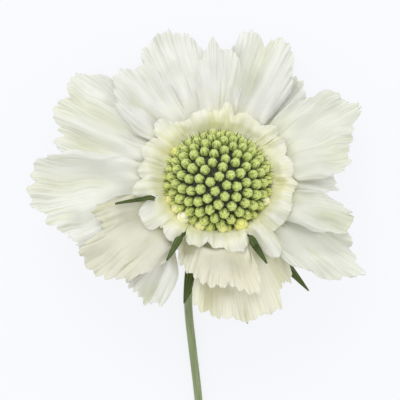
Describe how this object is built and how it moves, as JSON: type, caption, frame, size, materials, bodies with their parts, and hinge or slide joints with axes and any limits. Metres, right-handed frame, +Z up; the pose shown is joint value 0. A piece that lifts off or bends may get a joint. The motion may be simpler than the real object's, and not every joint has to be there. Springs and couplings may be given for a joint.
{
  "type": "cut scabiosa flower",
  "caption": "White scabiosa flower head with ruffled, toothed ray florets round a domed green disc, cut with its stem and laid face up.",
  "frame": {"origin": "on the resting surface, under the middle of the whole flower's box", "axes": "+Z up from the surface; +Y along the laid stem towards the head; +X to the right as the head faces up"},
  "size_m": [0.0762, 0.1462, 0.0306],
  "materials": {
    "petal": "matte, thin and slightly see-through",
    "disc": "matte, finely hairy",
    "bract": "matte, finely hairy",
    "stem": "matte, finely ribbed and hairy"
  },
  "bodies": {
    "root": {"stem": "stem", "involucre": "bract", "disc": "disc", "ray_floret_right_small": "petal", "ray_floret_right": "petal", "ray_floret_upper_right_low": "petal", "ray_floret_upper_right": "petal", "ray_floret_top": "petal", "ray_floret_top_left": "petal", "ray_floret_upper_left_inner": "petal", "ray_floret_upper_left": "petal", "ray_floret_left": "petal", "ray_floret_lower_left_front": "petal", "ray_floret_lower_left": "petal", "ray_floret_bottom_front": "petal", "ray_floret_bottom_back": "petal", "ray_floret_lower_right": "petal", "ray_floret_right_lower": "petal", "inner_lobes_top": "petal", "inner_lobes_left": "petal", "inner_lobes_bottom": "petal"}
  },
  "joints": []
}
